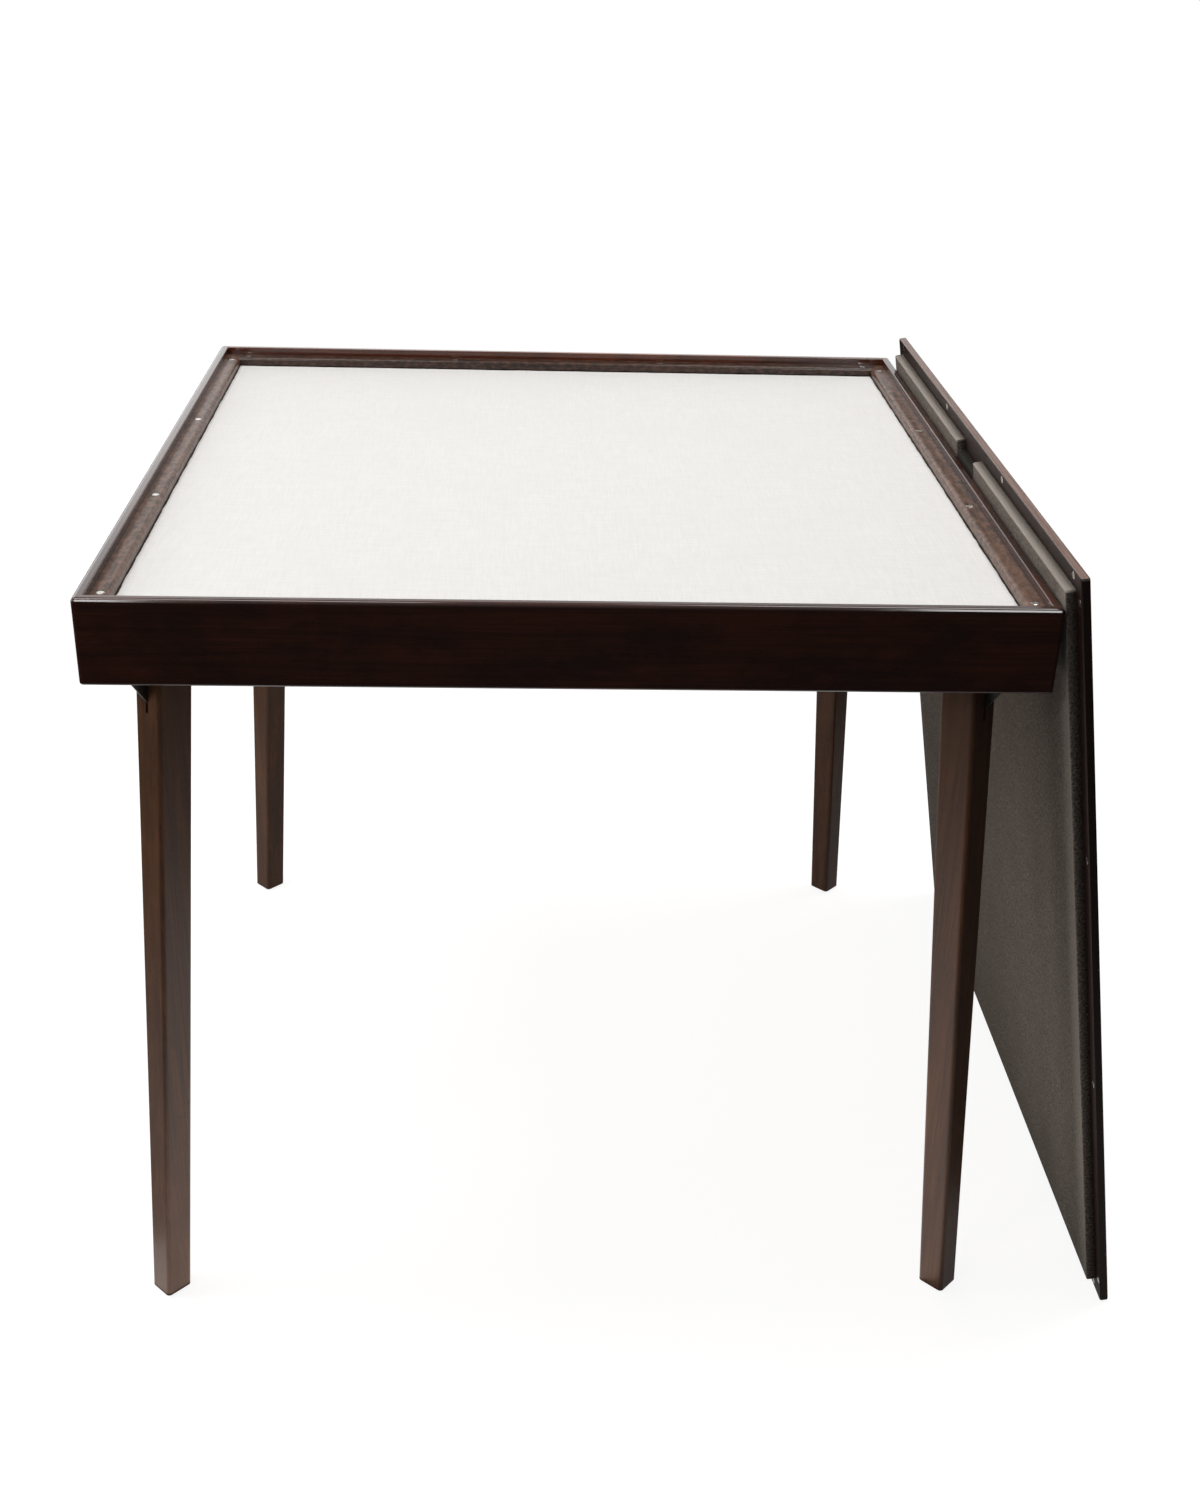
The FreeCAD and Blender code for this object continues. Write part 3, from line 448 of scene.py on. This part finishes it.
def moulded_nylon():
    """Injection moulded nylon, grey: a fine sparked texture and a dull shine."""
    material, tree, shader = new_material("nylon_moulded", Roughness=0.5, IOR=NYLON_IOR)
    place = add(tree, "TexCoord").outputs["Object"]
    grit = add(tree, "TexNoise", {"Vector": place, "Scale": 1 / SPARKED_GRIT,
                                  "Detail": 2}).outputs["Fac"]
    tone = add(tree, "Mix", {FACTOR: grit, FIRST: srgb("#a8a4a0"), SECOND: srgb("#bdb9b5")},
               data_type="RGBA").outputs[MIXED]
    tree.links.new(tone, shader.inputs["Base Color"])
    bump = add(tree, "Bump", {"Height": grit, "Strength": 0.3, "Distance": SPARKED_DEPTH})
    tree.links.new(bump.outputs["Normal"], shader.inputs["Normal"])
    return material


SURFACE = surface_sheet()
FELT = felt()
# Pins, washers, studs and screws: light grey, half dull.
ZINC = plated_metal("steel_zinc_plated", "#a19f9a", "#7d7b76", roughness=0.36)
# Hinge plates: dark grey with the same dull shine.
DARK_ZINC = plated_metal("steel_black_zinc_plated", "#5c5a57", "#454340", roughness=0.34)
# Magnets and discs: bright and slightly warm, the clearest of the three.
NICKEL = plated_metal("steel_nickel_plated", "#ece8e2", "#d3cec6", roughness=0.24)
NYLON = moulded_nylon()

for side in SIDES:
    along = "X" if side in ("front", "back") else "Y"
    paint(f"{side}_rail", BACK_WOOD_PAINTED_LIGHT if side == "back" else FRAME_WOOD[along])
    paint(f"{side}_ledge", LEDGE_WOOD_LIT_AND_SHADED[along])
    paint(f"{side}_cleat", BLOCK_WOOD)
for corner in CORNERS:
    paint(f"{corner}_leg", LEG_WOOD)
    paint(f"{corner}_glide", NYLON)
    for wooden in ("corner_block", "pivot_block"):
        paint(f"{corner}_{wooden}", BLOCK_WOOD)
    paint(f"{corner}_hinge_plate", DARK_ZINC)
    for metal in ("cross_pins", "pivot_pin", "pivot_washer", "stop_stud"):
        paint(f"{corner}_{metal}", ZINC)
paint("work_surface", SURFACE)
paint("base_panel", PLYWOOD)
paint("ledge_magnets", NICKEL)
paint("cover_discs", NICKEL)
paint("cover_board", COVER_WOOD)
paint("cover_pad", FELT)


# ------------------------------------------------------------------ discs

DISC_BEVEL = 0.8 * MM
ROUND = 24  # segments of a small round thing


def repeat(shape, places):
    """A copy of the shape at each of the places, as one shape. The first one is used up."""
    stamp = bpy.data.meshes.new("stamp")
    shape.to_mesh(stamp)
    shape.free()
    together = bmesh.new()
    for place in places:
        copy = stamp.copy()
        copy.transform(place)
        together.from_mesh(copy)
        bpy.data.meshes.remove(copy)
    bpy.data.meshes.remove(stamp)
    return together


def disc():
    """A disc with its rim bevelled, its face at z = 0."""
    shape = bmesh.new()
    bmesh.ops.create_cone(shape, cap_ends=True, segments=ROUND, radius1=DISC_DIAMETER / 2,
                          radius2=DISC_DIAMETER / 2, depth=DISC_THICKNESS)
    rim = [edge for edge in shape.edges if all(vert.co.z > 0 for vert in edge.verts)]
    bmesh.ops.bevel(shape, geom=rim, offset=DISC_BEVEL, offset_type="OFFSET", segments=2,
                    profile=0.5, affect="EDGES", material=-1)
    bmesh.ops.translate(shape, verts=shape.verts, vec=(0, 0, -DISC_THICKNESS / 2))
    return shape


ROW = [step * DISC_PITCH for step in (-1.5, -0.5, 0.5, 1.5)]  # along a side, from its middle


def ledge_discs():
    """The sixteen magnets in the ledges."""
    across = COVER_SIDE / 2 + COVER_GAP - LEDGE_WIDTH / 2
    places = [Matrix.Rotation(math.pi / 2 * turn, 4, "Z")
              @ Matrix.Translation((along, -across, LEDGE_TOP))
              for turn in range(4) for along in ROW]
    piece = make_piece("ledge_magnet_discs", repeat(disc(), places), NICKEL, "table",
                       smooth=False)
    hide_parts("ledge_magnets")


def cover_steel_discs():
    """The sixteen steel discs in the board's margin, which the magnets hold."""
    reach = COVER_SIDE / 2 - (LEDGE_WIDTH / 2 - COVER_GAP)
    to_pad_side = Matrix.Rotation(-math.pi / 2, 4, "Y")
    spots = [spot for along in ROW for side in (-reach, reach)
             for spot in ((side, along), (along, side))]
    places = [COVER_FRAME @ Matrix.Translation((0, y, COVER_SIDE / 2 + z)) @ to_pad_side
              for y, z in spots]
    piece = make_piece("cover_steel_discs", repeat(disc(), places), NICKEL, "cover",
                       smooth=False)
    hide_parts("cover_discs")


ledge_discs()
cover_steel_discs()


# ------------------------------------------------------------------ felt pad

PAD_CORNER = 2.5 * MM
NOTCH_CORNER = 1 * MM
FELT_SWELL = 0.7 * MM  # how far the felt stands off the board in the middle
FELT_CELL = 14 * MM
FELT_NEAR_EDGE = (4 * MM, 8 * MM)  # finer cells beside the edges
# Within these a vertex lies on a cut, on another vertex, or at the height of the felt's face.
ON_CUT, SAME_PLACE, SAME_HEIGHT = 0.02 * MM, 0.05 * MM, 0.1 * MM
FELT_PRESSURE = 4
CLOTH_STEPS = 5  # of the solver in each frame
CLOTH_FRAMES = 20


def pad_outline():
    """The pad's outline in the cover's frame, as y and z, with the finger notch at the top."""
    half = COVER_SIDE / 2 - PAD_MARGIN
    high = COVER_SIDE - PAD_MARGIN
    notch = NOTCH_LENGTH / 2
    return [(-half, PAD_MARGIN), (half, PAD_MARGIN), (half, high), (notch, high),
            (notch, high - NOTCH_DEPTH), (-notch, high - NOTCH_DEPTH), (-notch, high),
            (-half, high)]


def cut_into_cells(shape, axis, low, high):
    """Cut the whole shape across one axis into cells, finer near both ends."""
    count = round((high - low) / FELT_CELL)
    cuts = [low + (high - low) * i / count for i in range(1, count)]
    for near in FELT_NEAR_EDGE:
        cuts += [low + near, high - near]
    normal = Vector((0, 0, 0))
    normal[axis] = 1
    for cut in cuts:
        everything = shape.verts[:] + shape.edges[:] + shape.faces[:]
        bmesh.ops.bisect_plane(shape, geom=everything, dist=ON_CUT, plane_co=normal * cut,
                               plane_no=normal)


def drawn_felt():
    """The felt as it is cut: the pad's slab, its corners rounded and its face edges rolled."""
    shape = bmesh.new()
    corners = pad_outline()
    back = shape.faces.new([shape.verts.new((0, y, z)) for y, z in corners])
    raised = bmesh.ops.extrude_face_region(shape, geom=[back])["geom"]
    front = [part for part in raised if isinstance(part, bmesh.types.BMVert)]
    bmesh.ops.translate(shape, verts=front, vec=(FELT_SWELL - PAD_THICKNESS, 0, 0))
    upright = [edge for edge in shape.edges
               if abs(edge.verts[0].co.x - edge.verts[1].co.x) > PAD_THICKNESS / 2]
    outer = [edge for edge in upright if abs(edge.verts[0].co.y) > NOTCH_LENGTH]
    for edges, radius in ((outer, PAD_CORNER), (set(upright) - set(outer), NOTCH_CORNER)):
        bmesh.ops.bevel(shape, geom=list(edges), offset=radius, offset_type="OFFSET", segments=4,
                        profile=0.5, affect="EDGES", material=-1)
    face_x = FELT_SWELL - PAD_THICKNESS
    rolled = [edge for edge in shape.edges
              if all(abs(vert.co.x - face_x) < SAME_HEIGHT for vert in edge.verts)]
    bmesh.ops.bevel(shape, geom=rolled, offset=FELT_ROLL, offset_type="OFFSET", segments=3,
                    profile=0.5, affect="EDGES", material=-1)
    half, high = corners[2]
    cut_into_cells(shape, 1, -half, half)
    cut_into_cells(shape, 2, PAD_MARGIN, high)
    bmesh.ops.remove_doubles(shape, verts=shape.verts, dist=SAME_PLACE)
    bmesh.ops.recalc_face_normals(shape, faces=shape.faces)
    return shape


def swell(piece):
    """Let the felt swell off its board as cloth under slight pressure, held at its back.

    Only the swelling counts, and no further than the pad's own thickness.
    """
    mesh = piece.data
    start = [vert.co.copy() for vert in mesh.vertices]
    glued = piece.vertex_groups.new(name="glued")
    glued.add([i for i, place in enumerate(start) if place.x > -PAD_THICKNESS / 2], 1, "REPLACE")
    cloth = piece.modifiers.new("felt", "CLOTH")
    settings = cloth.settings
    settings.vertex_group_mass = glued.name
    settings.quality = CLOTH_STEPS
    settings.use_pressure = True
    settings.uniform_pressure_force = FELT_PRESSURE
    settings.effector_weights.gravity = 0
    cloth.point_cache.frame_start, cloth.point_cache.frame_end = 1, CLOTH_FRAMES
    for number in range(1, CLOTH_FRAMES + 1):
        scene.frame_set(number)
    settled = piece.evaluated_get(bpy.context.evaluated_depsgraph_get()).to_mesh()
    moves = [settled.vertices[i].co - place for i, place in enumerate(start)]
    piece.modifiers.remove(cloth)
    piece.vertex_groups.remove(glued)
    scene.frame_set(1)
    for vert, place, move in zip(mesh.vertices, start, moves):
        vert.co.x = place.x + max(-FELT_SWELL, min(0, move.x))


def cover_felt_pad():
    """The felt drawn over the cover's inner board, swollen a little and rolled at its edges."""
    piece = make_piece("cover_felt_pad", drawn_felt(), FELT, "cover")
    swell(piece)
    piece.data.transform(COVER_FRAME)
    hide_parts("cover_pad")


cover_felt_pad()


# ------------------------------------------------------------------ screws in the pivot blocks

SCREW_HEAD = 7 * MM
SCREW_CROWN = 5 * MM
SCREW_RISE = 1.9 * MM
SCREW_SKIRT = 1.1 * MM  # the upright part of the head's rise
SCREW_CROSS = 3.6 * MM
SCREW_CROSS_DEPTH = 1.2 * MM
SCREW_CROSS_FLOOR = 0.8  # the recess's floor against its mouth
SCREW_INSET = 5.5 * MM  # from the block's far end and its top
SCREW_LIFT = 10.5 * MM  # the lower one from the block's foot, clear of the hinge plate's swing
LOWER_SPIN, UPPER_SPIN = 0.4, 1.1  # radians by which the first block's screws stand turned
BLOCK_CANT = math.radians(3.33)  # of the pivot block's face, square to the pivot pin


def screw_head():
    """A pan head with a cross recess, its seat at z = 0."""
    shape = bmesh.new()
    bmesh.ops.create_grid(shape, x_segments=3, y_segments=3, size=SCREW_CROSS / 2)
    arm = SCREW_CROSS / 6  # half a cell of the three by three grid
    corners = [face for face in shape.faces if abs(face.calc_center_median().x) > arm
               and abs(face.calc_center_median().y) > arm]
    bmesh.ops.delete(shape, geom=corners, context="FACES")
    cross = shape.faces[:]
    cross_rim = [edge for edge in shape.edges if edge.is_boundary]
    bmesh.ops.create_circle(shape, segments=ROUND, radius=SCREW_CROWN / 2)
    crown = [edge for edge in shape.edges if not edge.link_faces]
    bmesh.ops.bridge_loops(shape, edges=cross_rim + crown)
    sunk = bmesh.ops.extrude_face_region(shape, geom=cross)["geom"]
    floor = [part for part in sunk if isinstance(part, bmesh.types.BMVert)]
    bmesh.ops.translate(shape, verts=floor, vec=(0, 0, -SCREW_CROSS_DEPTH))
    bmesh.ops.scale(shape, verts=floor, vec=(SCREW_CROSS_FLOOR, SCREW_CROSS_FLOOR, 1))
    bmesh.ops.delete(shape, geom=cross, context="FACES_ONLY")
    bmesh.ops.translate(shape, verts=shape.verts, vec=(0, 0, SCREW_RISE))
    rim = [edge for edge in shape.edges if edge.is_boundary]
    for radius, drop in ((SCREW_HEAD / 2, SCREW_RISE - SCREW_SKIRT), (SCREW_HEAD / 2, SCREW_SKIRT)):
        drawn = bmesh.ops.extrude_edge_only(shape, edges=rim)["geom"]
        ring = [part for part in drawn if isinstance(part, bmesh.types.BMVert)]
        grow = radius / ring[0].co.xy.length
        bmesh.ops.scale(shape, verts=ring, vec=(grow, grow, 1))
        bmesh.ops.translate(shape, verts=ring, vec=(0, 0, -drop))
        rim = [part for part in drawn if isinstance(part, bmesh.types.BMEdge)
               and part.is_boundary]
    bmesh.ops.holes_fill(shape, edges=rim)
    bmesh.ops.recalc_face_normals(shape, faces=shape.faces)
    return shape


def screws():
    """Two pan head screws in each pivot block, beyond the leg's pivot."""
    low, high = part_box("front_left_pivot_block")
    places = []
    for turn in range(4):
        corner = Matrix.Rotation(math.pi / 2 * turn, 4, "Z")
        for z, spin in ((low.z + SCREW_LIFT, LOWER_SPIN + turn),
                        (high.z - SCREW_INSET, UPPER_SPIN - turn)):
            y = high.y - (high.z - z) * math.tan(BLOCK_CANT)
            places.append(corner @ Matrix.Translation((high.x - SCREW_INSET, y, z))
                          @ Matrix.Rotation(-math.pi / 2 - BLOCK_CANT, 4, "X")
                          @ Matrix.Rotation(spin, 4, "Z"))
    make_piece("pivot_block_screws", repeat(screw_head(), places), ZINC, "table",
               smooth=False)


screws()


# ------------------------------------------------------------------ stage, light and camera

POWER_PER_RADIANCE = 4  # watts that a square metre of this renderer's area lamp takes


def softbox(name, place, target, size, radiance):
    """A rectangular lamp that faces a point, with its power worked out from its radiance."""
    width, height = size
    lamp = bpy.data.lights.new(name, "AREA")
    lamp.shape = "RECTANGLE"
    lamp.size, lamp.size_y = width, height
    lamp.energy = radiance * POWER_PER_RADIANCE * width * height
    box = bpy.data.objects.new(name, lamp)
    scene.collection.objects.link(box)
    box.location = place
    box.rotation_euler = (Vector(target) - Vector(place)).to_track_quat("-Z", "Y").to_euler()
    box.visible_camera = False
    return box


softbox("left_softbox", place=(-2.3, -0.5, 1.2), target=(0, 0, 0.4), size=(1.2, 1.2), radiance=2.4)
softbox("front_left_softbox", place=(-1.5, -1.9, 1.9), target=(0, 0, 0.6), size=(0.5, 0.5),
        radiance=7.2)
softbox("overhead_left_softbox", place=(-1.0, 0, 3.2), target=(0, 0, 0.7), size=(0.9, 1.6),
        radiance=5.8)
softbox("overhead_right_softbox", place=(1.0, 0.4, 3.2), target=(0, 0, 0.7), size=(0.9, 1.6),
        radiance=5.9)
# It lies on the floor under the front rail, facing up, and brightens the legs from below.
softbox("low_reflector", place=(-0.05, -0.45, 0.005), target=(-0.05, -0.45, 1), size=(0.84, 0.6),
        radiance=0.9)
# Two more that only gloss shows: they draw the bright lines along the ends of the front rim.
LINE_Y, LINE_Z = -2.4, 2.5
LINE_TARGET_Z = 0.7
LINE_LENGTH = 2.4
for name, x, width, radiance in (("left_line", -1.15, 0.4, 10.0), ("right_line", 1.2, 0.6, 9.0)):
    line = softbox(name, place=(x, LINE_Y, LINE_Z), target=(x, 0, LINE_TARGET_Z),
                   size=(width, LINE_LENGTH), radiance=radiance)
    line.visible_diffuse = False


def any_ray(tree, kinds):
    """One when the ray is of any of the kinds named on the Light Path node."""
    rays = add(tree, "LightPath").outputs
    seen = rays[kinds[0]]
    for kind in kinds[1:]:
        seen = add(tree, "Math", {0: seen, 1: rays[kind]}, operation="MAXIMUM").outputs[0]
    return seen


FLOOR_REACH = 20
PAPER_NEAR, PAPER_FAR = 0.8, 1.4  # the pool of light on the floor ends between these radii
PAPER_GLOW = 0.89  # added to the paper's own lit tone for the eye, which makes it white
GLOSS_GLOW = 0.34  # the same for gloss: less, which keeps dark lacquer dark


def studio_floor():
    """Pale paper in a pool of light round the table, with the dark studio floor beyond.

    The eye sees both as white, with the table's soft shadow on the paper. Gloss sees the
    paper dimmer and the floor beyond as dark as it lies.
    """
    shape = bmesh.new()
    bmesh.ops.create_grid(shape, x_segments=1, y_segments=1, size=FLOOR_REACH)
    mesh = bpy.data.meshes.new("floor")
    shape.to_mesh(mesh)
    shape.free()
    floor = bpy.data.objects.new("floor", mesh)
    scene.collection.objects.link(floor)
    material = bpy.data.materials.new("seamless_paper")
    material.use_nodes = True
    tree = material.node_tree
    tree.nodes.clear()
    place = add(tree, "TexCoord").outputs["Object"]
    reach = add(tree, "VectorMath", {0: place}, operation="LENGTH").outputs["Value"]
    beyond = add(tree, "MapRange", {"Value": reach, "From Min": PAPER_NEAR, "From Max": PAPER_FAR},
                 interpolation_type="SMOOTHSTEP").outputs["Result"]
    eye = any_ray(tree, ("Is Camera Ray", "Is Transmission Ray"))
    gloss = any_ray(tree, ("Is Glossy Ray",))
    shown = add(tree, "Math", {0: gloss, 1: GLOSS_GLOW}, operation="MULTIPLY").outputs[0]
    glow = add(tree, "Math", {0: eye, 1: PAPER_GLOW, 2: shown}, operation="MULTIPLY_ADD").outputs[0]
    matt = add(tree, "BsdfDiffuse", {"Color": srgb("#979492")}).outputs["BSDF"]
    white = add(tree, "Emission", {"Color": srgb("#ffffff"), "Strength": glow}).outputs["Emission"]
    paper = add(tree, "AddShader", {0: matt, 1: white}).outputs[0]
    dark = add(tree, "BsdfDiffuse", {"Color": srgb("#2a2928")}).outputs["BSDF"]
    backdrop = add(tree, "Emission", {"Strength": eye}).outputs["Emission"]
    studio = add(tree, "AddShader", {0: dark, 1: backdrop}).outputs[0]
    both = add(tree, "MixShader", {0: beyond, 1: paper, 2: studio}).outputs[0]
    add(tree, "OutputMaterial", {"Surface": both})
    mesh.materials.append(material)


def studio_world():
    """White to the eye; for all else a room with a pale wall behind and its dark side in front."""
    world = bpy.data.worlds.new("studio")
    scene.world = world
    world.use_nodes = True
    tree = world.node_tree
    tree.nodes.clear()
    direction = add(tree, "TexCoord").outputs["Generated"]
    parts = add(tree, "SeparateXYZ", {"Vector": direction}).outputs
    behind = add(tree, "MapRange", {"Value": parts["Y"], "From Min": 0, "From Max": 0.7,
                                    "To Min": 0.03, "To Max": 1.15}).outputs["Result"]
    low = add(tree, "MapRange", {"Value": parts["Z"], "From Min": 0.5, "From Max": 0.3,
                                 "To Min": 0.1}).outputs["Result"]
    leftward = add(tree, "MapRange", {"Value": parts["X"], "From Min": -0.2, "From Max": 0.25,
                                      "To Min": 1.5, "To Max": 0.9}).outputs["Result"]
    rise = add(tree, "Math", {0: behind, 1: low}, operation="MULTIPLY").outputs[0]
    wall = add(tree, "Math", {0: rise, 1: leftward}, operation="MULTIPLY").outputs[0]
    ceiling = add(tree, "MapRange", {"Value": parts["Z"], "From Min": 0.5, "From Max": 0.85,
                                     "To Max": 0.2}).outputs["Result"]
    room = add(tree, "Math", {0: wall, 1: ceiling}, operation="ADD").outputs[0]
    eye = any_ray(tree, ("Is Camera Ray", "Is Transmission Ray"))
    strength = add(tree, "Math", {0: room, 1: eye}, operation="MAXIMUM").outputs[0]
    white = srgb("#ffffff")
    sky = add(tree, "Background", {"Color": white, "Strength": strength}).outputs["Background"]
    add(tree, "OutputWorld", {"Surface": sky})


studio_floor()
studio_world()

# The camera stands in front of the table, a little left of its middle and above the rim,
# looking down on it. Its film's width and its lens are in millimetres.
CAMERA_PLACE = Vector((-45.2 * MM, -1758.9 * MM, TABLE_TOP + 552.8 * MM))
CAMERA_PITCH = math.radians(26.847)
CAMERA_YAW = math.radians(-2.954)
CAMERA_ROLL = math.radians(1.775)
FILM_WIDTH = 36
LENS = 42.93

camera = bpy.data.cameras.new("camera")
camera.sensor_width = FILM_WIDTH
camera.lens = LENS
camera_object = bpy.data.objects.new("camera", camera)
scene.collection.objects.link(camera_object)
camera_object.matrix_world = (
    Matrix.Translation(CAMERA_PLACE) @ Matrix.Rotation(CAMERA_YAW, 4, "Z")
    @ Matrix.Rotation(math.pi / 2 - CAMERA_PITCH, 4, "X") @ Matrix.Rotation(CAMERA_ROLL, 4, "Z"))
scene.camera = camera_object

scene.view_settings.view_transform = "Standard"
